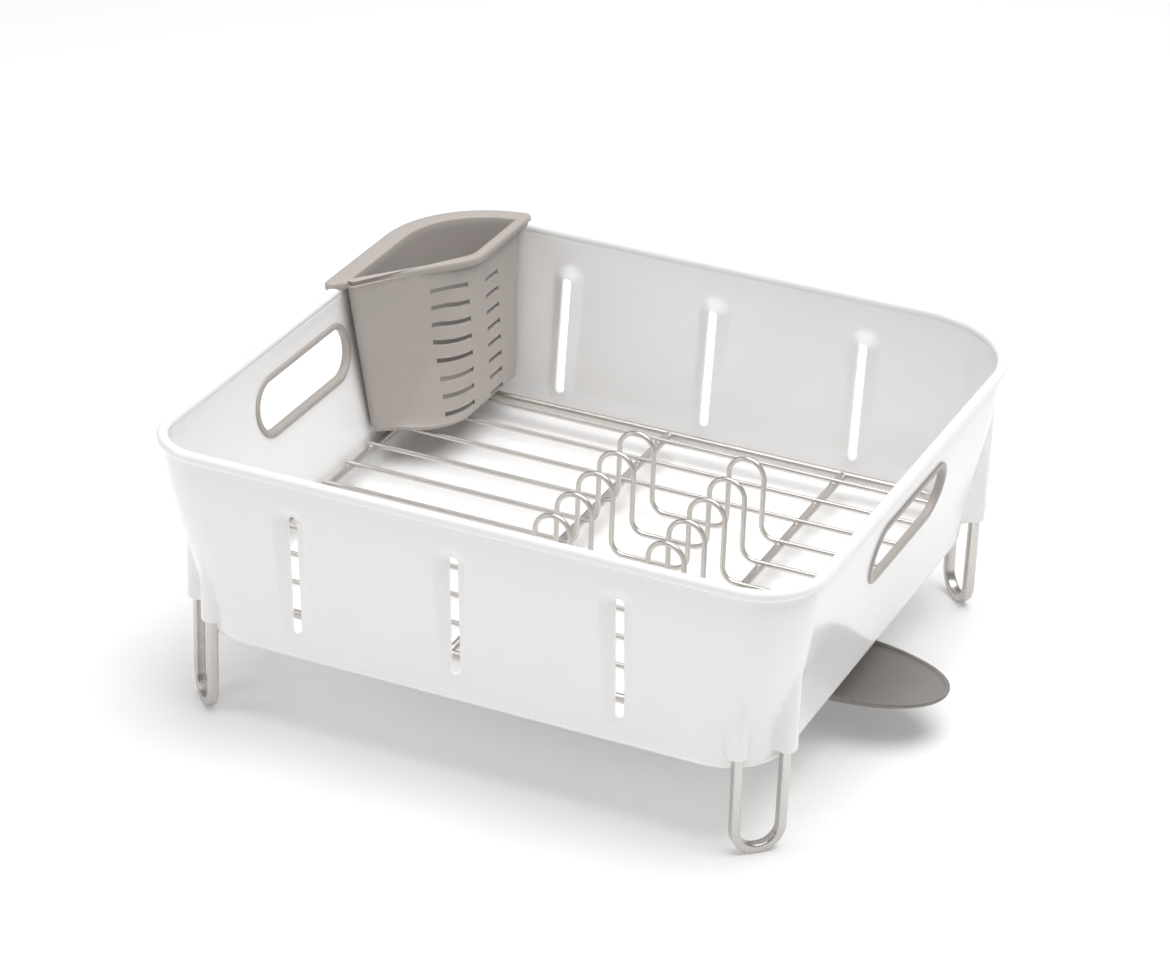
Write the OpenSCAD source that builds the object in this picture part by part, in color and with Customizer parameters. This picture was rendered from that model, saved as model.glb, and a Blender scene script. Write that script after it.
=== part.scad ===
// Dish drying rack: a tapered plastic tub on four steel U feet, with a lift-out
// wire rack, a hook-on utensil caddy and a drain spout that swivels below the tub.
// X runs along the length, Y from front to back, Z up. The origin is on the ground
// under the middle of the tub.

/* [Tub] */
// Length over the rim
tub_l = 413; // [380:1:480]
// Depth over the rim, front to back
tub_w = 395; // [370:1:460]
// Height of the top of the rim above the ground
tub_h = 181; // [170:1:220]
// Height of the underside of the tub above the ground
tub_base = 52; // [48:1:60]
// Thickness of the walls
wall = 2.5; // [2:0.1:3]
// Thickness of the floor
floor_t = 3; // [2:0.1:5]
// How far the walls lean in between the rim and the floor
taper = 17.3; // [12:0.1:20]
// Diameter of the rolled rim
rim_d = 7; // [6:0.1:9]
// Corner radius at the rim, front pair
corner_front = 54; // [50:1:64]
// Corner radius at the rim, back pair
corner_back = 66; // [58:1:72]
// Radius between the walls and the floor
base_fillet = 9; // [6:0.5:12]

/* [Handles] */
// Length of a handle trim
handle_l = 120; // [90:1:140]
// Height of a handle trim
handle_h = 39; // [34:1:44]
// Distance of the middle of a handle below the top of the rim
handle_drop = 40; // [36:1:46]
// How far forward of the middle a handle sits
handle_fwd = 8; // [0:1:12]
// Width of the lip of a trim
lip_w = 2.6; // [2:0.1:4]
// Thickness of the lip of a trim on each face of the wall
lip_t = 1; // [0.6:0.1:1.6]
// Thickness of the sleeve of a trim
sleeve_t = 1.6; // [1:0.1:2.4]

/* [Wall slots] */
// Distance between the slots as a share of the length over the rim
slot_gap_share = 0.247; // [0.2:0.001:0.25]
// Distance of the middle slot from the middle of the tub, to the right
slot_shift = -6; // [-10:1:10]
// Width of a slot
slot_w = 6.2; // [5:0.1:8]
// Height of the lowest point of a slot above the underside of the tub
slot_foot = 18; // [16:1:38]
// Distance of the highest point of a slot below the top of the rim
slot_drop = 30; // [22:1:40]
// Width of the hollow around a slot, at the face of the wall
dent_w = 20; // [15:0.5:24]
// Depth of the hollow at its top
dent_top = 5; // [3:0.1:6]
// Depth of the hollow at its bottom
dent_low = 1.7; // [1:0.1:3]

/* [Feet] */
// Distance of a foot's middle inside the middle of the rim, along the length
foot_in_x = 26; // [24:0.5:28]
// Distance of a foot's middle inside the middle of the rim, front to back
foot_in_y = 28.5; // [26:0.5:30]
// Distance between the middles of a foot's two legs
foot_span = 29.5; // [26:0.5:34]
// Thickness of the bar across the bend
bar_t = 5.5; // [4.5:0.1:6]
// Width of the bar
bar_w = 6.6; // [5.5:0.1:7]
// Radius on the long edges of the bar
bar_edge = 0.8; // [0.3:0.1:1.2]
// Inside radius of the bend
bend_r = 9.5; // [6:0.5:11]
// Height above the underside of the tub at which a leg enters it
socket_rise = 12; // [10:1:18]
// Length of a leg inside the tub
socket_depth = 28; // [18:1:34]
// Radius of the socket around a leg
socket_r = 6.6; // [6.2:0.1:7.5]

/* [Rack] */
// Diameter of the outer rod and the two cross rods
rod_d = 5.5; // [5:0.1:6]
// Diameter of the long wires
wire_d = 3.2; // [2.8:0.1:3.6]
// Height of the middle of the outer rod above the underside of the tub
rod_rise = 19; // [18:0.5:21]
// Gap between the rack and the tub's walls at each end
rack_end_gap = 1.3; // [1.2:0.1:8]
// Gap between the rack and the tub's walls at the front and back
rack_side_gap = 13.3; // [12.8:0.1:20]
// Corner radius of the outer rod
rack_corner = 30; // [24:1:40]
// Place of the left cross rod along the length
cross_left = -21.5; // [-40:0.5:-15]
// Place of the right cross rod along the length
cross_right = 98; // [94:0.5:120]
// Distance of the first long wire in front of the back rod
wire_in_back = 17.1; // [14:0.1:20]
// Distance of the last long wire behind the front rod
wire_in_front = 27.2; // [24:0.1:34]
// Depth of a weld between two wires
weld = 0.4; // [0.2:0.1:0.6]

/* [Plate loops] */
// Place of the left column of loops along the length
loop_left = 2.5; // [-2:0.5:6]
// Place of the right column of loops along the length
loop_right = 75; // [66:0.5:78]
// Width of a loop between the middles of its legs
loop_w = 22.8; // [18:0.2:26]
// Height of the top of a loop above the long wires
loop_h = 52; // [40:1:56]
// Radius where a leg turns into the wire
loop_foot = 9; // [6:0.5:10]

/* [Caddy] */
// Thickness of the caddy's walls
caddy_wall = 2.2; // [1.8:0.1:2.6]
// Gap between the caddy and the wires below it
caddy_clear = 3; // [2:0.5:8]
// Gap between the caddy and the tub
caddy_gap = 1.5; // [1:0.1:2]
// Width of the caddy at its top, from the tub's end wall to its open side
caddy_w = 54; // [50:1:58]
// Length of the caddy at its top, along the tub's end wall
caddy_l = 141; // [132:1:146]
// Thickness of the caddy's rim
caddy_rim_t = 3; // [2.4:0.1:4]
// How far the hook reaches down outside the tub's rim
hook_drop = 9; // [6:0.5:12]
// Height of one slot in the caddy
caddy_slot_h = 3.4; // [3:0.1:4]

/* [Spout] */
// Gap between the swinging spout and the middle of a foot
spout_pass = 13.3; // [11:0.1:20]
// Width of the spout
spout_w = 75; // [66:1:84]
// Distance of the spout's edge below the tub, at its root
spout_drop = 11; // [9:1:14]
// Depth of the spout
spout_h = 14; // [12:0.5:16]
// Thickness of the spout
spout_wall = 2.4; // [2:0.1:3]
// Outside radius of the drain collar
collar_r = 16; // [14:0.5:18]
// Thickness of the drain collar
collar_wall = 3; // [2.5:0.1:4]
// Running gap between the collar and the spout
pivot_gap = 0.1; // [0.05:0.01:0.1]

/* [Hidden] */
$fn = 64;
white_plastic = "white";
grey_plastic = "#b8aea8";
dark_plastic = "#8f8a86";
steel = "silver";
black_rubber = "#3c3c3c";
eps = 0.01;

// Tub: half sizes to the middle of the rolled rim, and the wall's outline
half_l = (tub_l - rim_d) / 2;
half_w = (tub_w - rim_d) / 2;
handle_z = tub_h - handle_drop;
slot_gap = slot_gap_share * tub_l;
slot_low = tub_base + slot_foot;
slot_high = tub_h - slot_drop;
rim_z = tub_h - rim_d / 2;
face_in = 1;
lean_top = rim_z - 10;
lean_low = tub_base + base_fillet - 3;
wall_steps = 14;
fillet_steps = 8;

// Share of the lean reached at height z: straight at the top, then an easy S
function lean_share(u) = 0.5 * u + 0.25 * (1 - cos(180 * u));
function lean(z) = z >= lean_top ? 0
    : z <= lean_low ? taper
    : taper * lean_share((lean_top - z) / (lean_top - lean_low));
// Distance of the wall's outer face from the middle of the rim, inward negative
function face(z) = -face_in - lean(z);
function step_z(low, high, i, n) = low + (high - low) * i / n;

// Half-section of the tub's wall with a strip of floor, in radial distance and height
function wall_face(shift, low, high, n = wall_steps) =
    [for (i = [0:n]) let (z = step_z(low, high, i, n)) [face(z) + shift, z]];
function fillet_points(r, z, radius) =
    [for (i = [0:fillet_steps]) let (a = 90 * i / fillet_steps)
        [r - radius + radius * sin(a), z + radius - radius * cos(a)]];
fillet_top = tub_base + base_fillet;
inner_fillet = base_fillet - wall;
inner_top = tub_base + floor_t + inner_fillet;
floor_strip = base_fillet + 4;
outer_foot = face(fillet_top);
inner_foot = face(inner_top) - wall;
wall_section = concat(
    [[outer_foot - floor_strip, tub_base]],
    fillet_points(outer_foot, tub_base, base_fillet),
    [for (p = wall_face(0, fillet_top, rim_z)) if (p[1] > fillet_top) p],
    [for (i = [wall_steps:-1:1])
        let (z = step_z(inner_top, rim_z, i, wall_steps)) [face(z) - wall, z]],
    [for (i = [fillet_steps:-1:0]) fillet_points(inner_foot, tub_base + floor_t, inner_fillet)[i]],
    [[outer_foot - floor_strip, tub_base + floor_t]]);

// Feet
foot_x = half_l - foot_in_x;
foot_y = half_w - foot_in_y;
socket_low = tub_base + socket_rise;
leg_top = socket_low + socket_depth;
leg_bend = bend_r + bar_t / 2;
leg_offset = foot_span / 2;
leg_play = 0.15;
socket_cap = leg_top + 2;
drop_clear = 0.6;

// Rack
rod_z = tub_base + rod_rise;
half_rack_l = half_l + face(rod_z) - wall - rod_d / 2 - rack_end_gap;
half_rack_w = half_w + face(rod_z) - wall - rod_d / 2 - rack_side_gap;
wire_z = rod_z + rod_d / 2 + wire_d / 2 - weld;
wire_end = half_rack_l + wire_d / 2;
rest_x = half_rack_l - rack_corner - 8;
rest_r = 5;
rest_play = 0.1;
plate_first = 3;
plate_count = 5;
front_first = plate_first + plate_count;
wire_count = front_first + 2;
wire_back = half_rack_w - wire_in_back;
wire_gap = (2 * half_rack_w - wire_in_back - wire_in_front) / (wire_count - 1);
rib_gap = 30;
rib_count = 9;
rib_w = 2.4;
rib_h = 0.8;
rib_l = 250;

// Caddy: planes of the tub's inner faces at the top and bottom of the caddy
caddy_base = wire_z + wire_d / 2 + caddy_clear;
caddy_top = tub_h + 0.4;
caddy_rim_top = caddy_top + caddy_rim_t;
caddy_in_top = half_l + face(rim_z) - wall - caddy_gap;
caddy_back_top = half_w + face(rim_z) - wall - caddy_gap;
caddy_in_low = half_l + face(caddy_base) - wall - caddy_gap;
caddy_back_low = half_w + face(caddy_base) - wall - caddy_gap;
caddy_side_top = -caddy_in_top + caddy_w;
caddy_side_low = caddy_side_top + 8;
caddy_front_top = caddy_back_top - caddy_l;
caddy_front_low = caddy_front_top + 8;
caddy_nose_r = 4;
caddy_lip = 4;
caddy_reach = 8;
belly_top_r = 25;
belly_low_r = 42;
belly_top_y = caddy_back_top - 59;
belly_low_y = caddy_back_low - 68;
nose_turn_top = -34;
nose_turn_low = -74;
hook_out = rim_d / 2 + 2.4;
hook_t = 2;
arc_steps = 8;
caddy_slots = 8;
caddy_slot_top = tub_h - 16;
caddy_slot_foot = 7;
caddy_slot_gap = (caddy_slot_top - caddy_base - caddy_slot_foot) / (caddy_slots - 1);
slice_t = 1.5;

// Spout
spout_reach = norm([foot_x, foot_y]) - spout_pass;
spout_top = tub_base - spout_drop;
spout_r = spout_w / 2;
hub_r = 27;
hub_t = 4;
hub_top = tub_base - 3.5;
retainer_t = 3.5;
retainer_r = 20.5;
seal_t = 1.2;
flange_t = 1.6;
flange_r = 24;
spout_low = spout_top - spout_h;
tip_drop = 11;
collar_low = hub_top - hub_t - retainer_t - 0.2;

// Carries a section, drawn in radial distance and height, around the tub's plan
module around_tub() {
    side_run(half_w, -(half_l - corner_front), half_l - corner_front, 180) children();
    side_run(half_w, -(half_l - corner_back), half_l - corner_back, 0) children();
    side_run(half_l, -(half_w - corner_front), half_w - corner_back, -90) children();
    mirror([1, 0, 0])
        side_run(half_l, -(half_w - corner_front), half_w - corner_back, -90) children();
    for (side = [0, 1])
        mirror([side, 0, 0]) {
            translate([half_l - corner_front, -(half_w - corner_front), 0])
                rotate([0, 0, -90])
                    rotate_extrude(angle = 90) translate([corner_front, 0]) children();
            translate([half_l - corner_back, half_w - corner_back, 0])
                rotate_extrude(angle = 90) translate([corner_back, 0]) children();
        }
}

// One straight side: the section faces away from the middle at the given distance
module side_run(distance, from, to, turn) {
    length = to - from;
    if (turn == -90)
        translate([distance, to, 0]) rotate([90, 0, 0])
            linear_extrude(length) children();
    else
        rotate([0, 0, turn]) translate([to, distance, 0]) rotate([90, 0, 90])
            mirror([0, 0, 1]) linear_extrude(length) children();
}

// Slab with the tub's plan, drawn in by the given amount
module plan_slab(inset, low, thick) {
    front_r = corner_front - inset;
    back_r = corner_back - inset;
    translate([-half_l + inset, -half_w + corner_front, low])
        cube([2 * (half_l - inset), 2 * half_w - corner_front - corner_back, thick]);
    translate([-half_l + corner_front, -half_w + inset, low])
        cube([2 * (half_l - corner_front), half_w - inset, thick]);
    translate([-half_l + corner_back, 0, low])
        cube([2 * (half_l - corner_back), half_w - inset, thick]);
    for (x = [-1, 1]) {
        translate([x * (half_l - corner_front), -half_w + corner_front, low])
            cylinder(r = front_r, h = thick);
        translate([x * (half_l - corner_back), half_w - corner_back, low])
            cylinder(r = back_r, h = thick);
    }
}

// Pill-shaped prism along X: straight with round ends, long side along Y
module pill_x(length, height, from, to) {
    end_y = (length - height) / 2;
    translate([from, -end_y, -height / 2]) cube([to - from, 2 * end_y, height]);
    for (y = [-end_y, end_y])
        translate([from, y, 0]) rotate([0, 90, 0]) cylinder(d = height, h = to - from);
}

// Places a child at the middle of the handle, on the right or the mirrored left side
module at_handle(side) {
    mirror([side < 0 ? 1 : 0, 0, 0]) translate([0, -handle_fwd, handle_z]) children();
}

// Slice of the end wall around a handle, thickened on both faces by grow
module end_wall(side, grow) {
    low = handle_z - handle_h / 2 - 2;
    high = handle_z + handle_h / 2 + 2;
    outer = wall_face(grow, low, high, 10);
    inner = wall_face(-wall - grow, low, high, 10);
    section = concat(outer, [for (i = [10:-1:0]) inner[i]]);
    mirror([side < 0 ? 1 : 0, 0, 0])
        translate([half_l, handle_l / 2 - handle_fwd + 2, 0]) rotate([90, 0, 0])
            linear_extrude(handle_l + 4) polygon(section);
}

// Play between a trim's lips and the wall
trim_play = 0.06;

module handle_trim(side) {
    hole = 2 * lip_w;
    opening = hole + 2 * sleeve_t;
    from = half_l - 40;
    to = half_l + 10;
    color(grey_plastic) difference() {
        intersection() {
            end_wall(side, lip_t);
            at_handle(side) pill_x(handle_l, handle_h, from, to);
        }
        at_handle(side) pill_x(handle_l - opening, handle_h - opening, from, to);
        difference() {
            end_wall(side, trim_play);
            at_handle(side) pill_x(handle_l - hole, handle_h - hole, from, to);
        }
    }
}

// Trapezoid prism that follows the floor of a slot's hollow, wide face outward
module dent_prism(face_w, floor_w, out, deep, low, high) {
    top = face(high) - dent_top;
    foot = face(low) - dent_low;
    tilt = atan((top - foot) / (high - low));
    length = (high - low) / cos(tilt);
    translate([0, -half_w - foot, low]) rotate([tilt, 0, 0])
        linear_extrude(length)
            polygon([[-face_w / 2, -out], [face_w / 2, -out], [floor_w / 2, deep], [-floor_w / 2, deep]]);
}

// Repeats a child at the three slots of the front wall and of the back wall
module at_slots() {
    for (turn = [0, 1])
        mirror([0, turn, 0])
            for (i = [-1:1]) translate([slot_shift + i * slot_gap, 0, 0]) children();
}

dent_margin = 7;
dent_out = 12;
dent_wide = dent_w + 14;

module slot_backs() {
    at_slots() intersection() {
        dent_prism(dent_w + 2 * wall + 4, slot_w + 2 * wall, dent_top, wall,
            slot_low - dent_margin - wall, slot_high + dent_margin + wall);
        translate([-dent_wide / 2, -half_w - face(slot_low) - wall - 12 - dent_top, tub_base + floor_t])
            cube([dent_wide, 60, tub_h]);
    }
}

module slot_cuts() {
    run = slot_high - slot_low - slot_w;
    at_slots() {
        dent_prism(dent_wide, slot_w + 1, dent_out, 0, slot_low - dent_margin, slot_high + dent_margin);
        translate([-slot_w / 2, -half_w - 10, slot_low + slot_w / 2]) cube([slot_w, 60, run]);
        for (z = [slot_low + slot_w / 2, slot_high - slot_w / 2])
            translate([0, -half_w - 10, z]) rotate([-90, 0, 0]) cylinder(d = slot_w, h = 60);
    }
}

// Repeats a child at every corner, turned so that local X runs along the foot's bend
module at_corners() {
    for (x = [0, 1], y = [0, 1]) mirror([x, 0, 0]) mirror([0, y, 0]) at_foot() children();
}

module at_foot() {
    translate([foot_x, foot_y, 0]) rotate([0, 0, -45]) children();
}

module sockets() {
    at_corners() for (x = [-leg_offset, leg_offset]) translate([x, 0, 0]) {
        translate([0, 0, socket_low]) cylinder(r = socket_r, h = socket_cap - socket_low);
        translate([0, 0, socket_cap]) sphere(r = socket_r);
    }
}

module socket_holes() {
    at_corners() for (x = [-leg_offset, leg_offset]) {
        translate([x - bar_t / 2 - leg_play, -bar_w / 2 - leg_play, socket_low - eps])
            cube([bar_t + 2 * leg_play, bar_w + 2 * leg_play, socket_depth + eps]);
        translate([x - bar_t / 2 - drop_clear, -bar_w / 2 - drop_clear, tub_base - eps])
            cube([bar_t + 2 * drop_clear, bar_w + 2 * drop_clear, socket_low - tub_base]);
    }
}

// Posts that the rack's front and back rods stand in
module rack_rests() {
    post_top = rod_z - 0.5;
    difference() {
        for (x = [-rest_x, rest_x], y = [-half_rack_w, half_rack_w])
            translate([x, y, tub_base + floor_t / 2])
                cylinder(r = rest_r, h = post_top - tub_base - floor_t / 2);
        for (y = [-half_rack_w, half_rack_w])
            translate([-half_rack_l, y, rod_z]) rotate([0, 90, 0])
                cylinder(d = rod_d + 2 * rest_play, h = 2 * half_rack_l);
    }
}

module floor_ribs() {
    for (i = [-(rib_count - 1) / 2:(rib_count - 1) / 2])
        if (abs(i * rib_gap) > flange_r + rib_w)
            translate([i * rib_gap - rib_w / 2, -rib_l / 2, tub_base + floor_t / 2])
                cube([rib_w, rib_l, floor_t / 2 + rib_h]);
}

module tub() {
    hole_from = half_l - 40;
    hole_to = half_l + 10;
    color(white_plastic) difference() {
        union() {
            around_tub() polygon(wall_section);
            around_tub() translate([0, rim_z]) circle(d = rim_d);
            plan_slab(floor_strip - outer_foot - 1, tub_base, floor_t);
            slot_backs();
            sockets();
            rack_rests();
            floor_ribs();
        }
        slot_cuts();
        socket_holes();
        for (side = [-1, 1])
            at_handle(side)
                pill_x(handle_l - 2 * lip_w, handle_h - 2 * lip_w, hole_from, hole_to);
        translate([0, 0, tub_base - eps]) cylinder(r = collar_r, h = floor_t + 2);
    }
}

// Outline of the bar: a rectangle with its long edges eased
module bar_section() {
    a = bar_t / 2;
    b = bar_w / 2;
    e = bar_edge;
    polygon([[a, e - b], [a, b - e], [a - e, b], [e - a, b], [-a, b - e], [-a, e - b], [e - a, -b], [a - e, -b]]);
}

// One leg, its bend and half of the flat that stands on the ground
module half_foot() {
    flat = leg_offset - leg_bend;
    translate([leg_offset, 0, leg_bend + bar_t / 2])
        linear_extrude(leg_top - leg_bend - bar_t / 2) bar_section();
    translate([flat, 0, leg_bend + bar_t / 2]) rotate([90, 90, 0])
        rotate_extrude(angle = 90) translate([leg_bend, 0]) bar_section();
    translate([0, 0, bar_t / 2]) rotate([0, 90, 0]) linear_extrude(flat) bar_section();
}

module foot(x, y) {
    color(steel)
        mirror([x < 0 ? 1 : 0, 0, 0]) mirror([0, y < 0 ? 1 : 0, 0]) at_foot()
            for (side = [0, 1]) mirror([side, 0, 0]) half_foot();
}

module rod_x(d, from, to, y, z) {
    translate([from, y, z]) rotate([0, 90, 0]) cylinder(d = d, h = to - from);
}

module rod_y(d, from, to, x, z) {
    translate([x, to, z]) rotate([90, 0, 0]) cylinder(d = d, h = to - from);
}

module outer_rod_shape() {
    run_x = half_rack_l - rack_corner;
    run_y = half_rack_w - rack_corner;
    for (y = [-half_rack_w, half_rack_w]) rod_x(rod_d, -run_x, run_x, y, rod_z);
    for (x = [-half_rack_l, half_rack_l]) rod_y(rod_d, -run_y, run_y, x, rod_z);
    for (x = [0, 1], y = [0, 1]) mirror([x, 0, 0]) mirror([0, y, 0])
        translate([run_x, run_y, rod_z])
            rotate_extrude(angle = 90) translate([rack_corner, 0]) circle(d = rod_d);
}

module rack_outer_rod() {
    color(steel) outer_rod_shape();
}

module cross_rod(x) {
    color(steel) difference() {
        rod_y(rod_d, -half_rack_w, half_rack_w, x, rod_z);
        for (y = [-half_rack_w, half_rack_w])
            rod_x(rod_d, x - rod_d, x + rod_d, y, rod_z);
    }
}

// The rods under a long wire, which its welds bite into
module under_rods(y) {
    reach = 6;
    for (x = [-half_rack_l, half_rack_l, cross_left, cross_right])
        rod_y(rod_d, y - reach, y + reach, x, rod_z);
}

function wire_y(i) = wire_back - i * wire_gap;

module straight_wire(i) {
    y = wire_y(i);
    color(steel) difference() {
        rod_x(wire_d, -wire_end, wire_end, y, wire_z);
        under_rods(y);
    }
}

// Quarter or half turn of wire in the XZ plane, from one angle through a sweep
module wire_turn(x, y, z, radius, from, sweep) {
    translate([x, y, z]) rotate([90, 0, 0]) rotate([0, 0, from])
        rotate_extrude(angle = sweep) translate([radius, 0]) circle(d = wire_d);
}

// Upright loop over the wire, with a turn at each of its feet
module plate_loop(x, y) {
    half = loop_w / 2;
    crown_z = wire_z + loop_h - half - wire_d / 2;
    leg_z = wire_z + loop_foot;
    for (side = [-1, 1])
        translate([x + side * half, y, leg_z]) cylinder(d = wire_d, h = crown_z - leg_z);
    wire_turn(x, y, crown_z, half, 0, 180);
    wire_turn(x - half - loop_foot, y, leg_z, loop_foot, 270, 90);
    wire_turn(x + half + loop_foot, y, leg_z, loop_foot, 180, 90);
}

module plate_wire(k) {
    y = wire_y(plate_first + plate_count - k);
    reach = loop_w / 2 + loop_foot;
    color(steel) difference() {
        union() {
            rod_x(wire_d, -wire_end, loop_left - reach, y, wire_z);
            rod_x(wire_d, loop_left + reach, loop_right - reach, y, wire_z);
            rod_x(wire_d, loop_right + reach, wire_end, y, wire_z);
            plate_loop(loop_left, y);
            plate_loop(loop_right, y);
        }
        under_rods(y);
    }
}

// Points of an arc, from one angle to another
function arc(cx, cy, r, from, to) =
    [for (i = [0:arc_steps]) let (a = from + (to - from) * i / arc_steps) [cx + r * cos(a), cy + r * sin(a)]];

// Plan of the caddy: end wall side, back, open side, belly and nose. The back corner
// stops where it meets the small corner next to the open side.
function caddy_plan(left, back, side, front, corner, belly_r, belly_y, turn, inset) =
    let (cx = left + corner,
        cy = back - corner,
        nx = side - caddy_nose_r,
        meet = nx >= cx ? 90 : acos((nx - cx) / (corner - caddy_nose_r)),
        ny = nx >= cx ? back - caddy_nose_r : cy + (corner - caddy_nose_r) * sin(meet))
    concat(
        arc(cx, cy, corner - inset, 180, meet),
        arc(nx, ny, caddy_nose_r - inset, meet, 0),
        arc(side - belly_r, belly_y, belly_r - inset, 0, turn),
        arc(left + caddy_nose_r, front + caddy_nose_r, caddy_nose_r - inset, turn, -180));

module caddy_slice_top(inset, z, thick) {
    translate([0, 0, z]) linear_extrude(thick)
        polygon(caddy_plan(-caddy_in_top, caddy_back_top, caddy_side_top, caddy_front_top,
            corner_back + face(rim_z) - wall - caddy_gap, belly_top_r, belly_top_y,
            nose_turn_top, inset));
}

module caddy_slice_low(inset, z, thick) {
    translate([0, 0, z]) linear_extrude(thick)
        polygon(caddy_plan(-caddy_in_low, caddy_back_low, caddy_side_low, caddy_front_low,
            corner_back + face(caddy_base) - wall - caddy_gap, belly_low_r, belly_low_y,
            nose_turn_low, inset));
}

module caddy_solid(inset, low, high) {
    hull() {
        caddy_slice_top(inset, high - slice_t, slice_t);
        caddy_slice_low(inset, low, slice_t);
    }
}

// Outline of the hook, run on past both ends of the rim
module hook_plan(inset) {
    out = half_l + hook_out;
    polygon(caddy_plan(-out, half_w + hook_out, 0, 0, corner_back + hook_out,
        belly_top_r, belly_top_y, nose_turn_top, inset));
}

// Rim and hook: a flat lip over the tub's rim with a skirt outside it
module caddy_rim() {
    out = half_l + hook_out;
    back = half_w + hook_out;
    side = caddy_side_top + caddy_lip;
    front = caddy_front_top - caddy_reach;
    skirt_end = caddy_nose_r + 2;
    skirt_low = caddy_top - hook_drop;
    translate([0, 0, caddy_top]) linear_extrude(caddy_rim_t)
        polygon(caddy_plan(-out, back, side, front, corner_back + hook_out,
            belly_top_r + caddy_lip, belly_top_y, nose_turn_top, 0));
    intersection() {
        translate([0, 0, skirt_low]) linear_extrude(hook_drop + caddy_rim_t / 2) difference() {
            hook_plan(0);
            hook_plan(hook_t);
        }
        translate([-out - 1, front + skirt_end, skirt_low - 1])
            cube([out + 1 + side - skirt_end, back - front, 2 * hook_drop + caddy_rim_t]);
    }
}

// Two columns of level slots through the belly and the open side
module caddy_slot_cuts() {
    for (i = [0:caddy_slots - 1]) {
        z = caddy_slot_top - i * caddy_slot_gap;
        translate([caddy_side_top - 9, belly_top_y + 6, z - 5]) rotate([0, 0, -8])
            cube([40, 18, caddy_slot_h]);
        translate([caddy_side_top - 24, belly_top_y - 33, z]) rotate([0, 0, -28])
            cube([60, 27, caddy_slot_h]);
    }
}

module utensil_caddy() {
    color(grey_plastic) difference() {
        union() {
            caddy_solid(0, caddy_base, caddy_top + caddy_rim_t / 2);
            caddy_rim();
        }
        caddy_solid(caddy_wall, caddy_base + caddy_wall, caddy_rim_top + 2 * slice_t);
        caddy_slot_cuts();
    }
}

// Plan of the spout: round at the pivot, straight sides and a round tip
module spout_plan(inset, low, thick) {
    r = spout_r - inset;
    reach = spout_reach - spout_r;
    for (x = [0, reach]) translate([x, 0, low]) cylinder(r = r, h = thick);
    translate([0, -r, low]) cube([reach, 2 * r, thick]);
}

module swivel_spout() {
    slope = atan(tip_drop / spout_reach);
    color(dark_plastic) difference() {
        union() {
            difference() {
                spout_plan(0, spout_low, spout_h);
                spout_plan(spout_wall, spout_low + spout_wall, spout_h);
                translate([0, -spout_w, spout_top]) rotate([0, slope, 0])
                    cube([spout_reach + 20, 2 * spout_w, spout_h]);
            }
            translate([0, 0, hub_top - hub_t]) cylinder(r = hub_r, h = hub_t);
            for (a = [60, 180, 300]) rotate([0, 0, a])
                translate([hub_r - 6, -4, spout_low + spout_wall / 2])
                    cube([5, 8, hub_top - hub_t - spout_low]);
        }
        cylinder(r = collar_r + pivot_gap, h = tub_h);
    }
}

module drain_collar() {
    flange_z = tub_base + floor_t + seal_t;
    color(white_plastic) difference() {
        union() {
            translate([0, 0, collar_low]) cylinder(r = collar_r, h = flange_z - collar_low);
            translate([0, 0, flange_z]) cylinder(r = flange_r, h = flange_t);
        }
        translate([0, 0, collar_low - 1]) cylinder(r = collar_r - collar_wall, h = tub_h);
    }
}

module ring(outer, inner, low, thick) {
    difference() {
        translate([0, 0, low]) cylinder(r = outer, h = thick);
        translate([0, 0, low - 1]) cylinder(r = inner, h = thick + 2);
    }
}

module spout_retainer() {
    color(dark_plastic) ring(retainer_r, collar_r, collar_low, retainer_t);
}

module drain_seal() {
    color(black_rubber) ring(flange_r - 1, collar_r, tub_base + floor_t, seal_t);
}

tub();
handle_trim(-1);  // handle_trim_left
handle_trim(1);  // handle_trim_right
foot(-1, -1);  // foot_front_left
foot(1, -1);  // foot_front_right
foot(-1, 1);  // foot_back_left
foot(1, 1);  // foot_back_right
rack_outer_rod();
cross_rod(cross_left);  // rack_cross_rod_left
cross_rod(cross_right);  // rack_cross_rod_right
straight_wire(0);  // back_wire_1
straight_wire(1);  // back_wire_2
straight_wire(2);  // back_wire_3
plate_wire(1);  // plate_wire_1
plate_wire(2);  // plate_wire_2
plate_wire(3);  // plate_wire_3
plate_wire(4);  // plate_wire_4
plate_wire(5);  // plate_wire_5
straight_wire(front_first);  // front_wire_1
straight_wire(front_first + 1);  // front_wire_2
utensil_caddy();
swivel_spout();
drain_collar();
spout_retainer();
drain_seal();
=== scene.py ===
import math

import bmesh
import bpy
import numpy as np
from mathutils import Matrix, Vector


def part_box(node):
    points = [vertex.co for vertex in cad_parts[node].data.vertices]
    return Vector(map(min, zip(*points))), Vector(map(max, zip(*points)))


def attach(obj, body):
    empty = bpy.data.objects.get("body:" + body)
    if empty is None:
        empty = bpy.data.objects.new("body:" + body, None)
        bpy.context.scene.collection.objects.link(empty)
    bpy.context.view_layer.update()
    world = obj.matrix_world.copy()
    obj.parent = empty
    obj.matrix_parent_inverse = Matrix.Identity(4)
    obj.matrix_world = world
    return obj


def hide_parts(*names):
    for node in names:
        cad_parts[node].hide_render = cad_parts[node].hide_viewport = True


# Dish drying rack: white tub on steel feet, lift-out wire rack, utensil caddy, swivel spout.
# Shapes are worked out in millimetres and turned into metres when a mesh is made.

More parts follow.
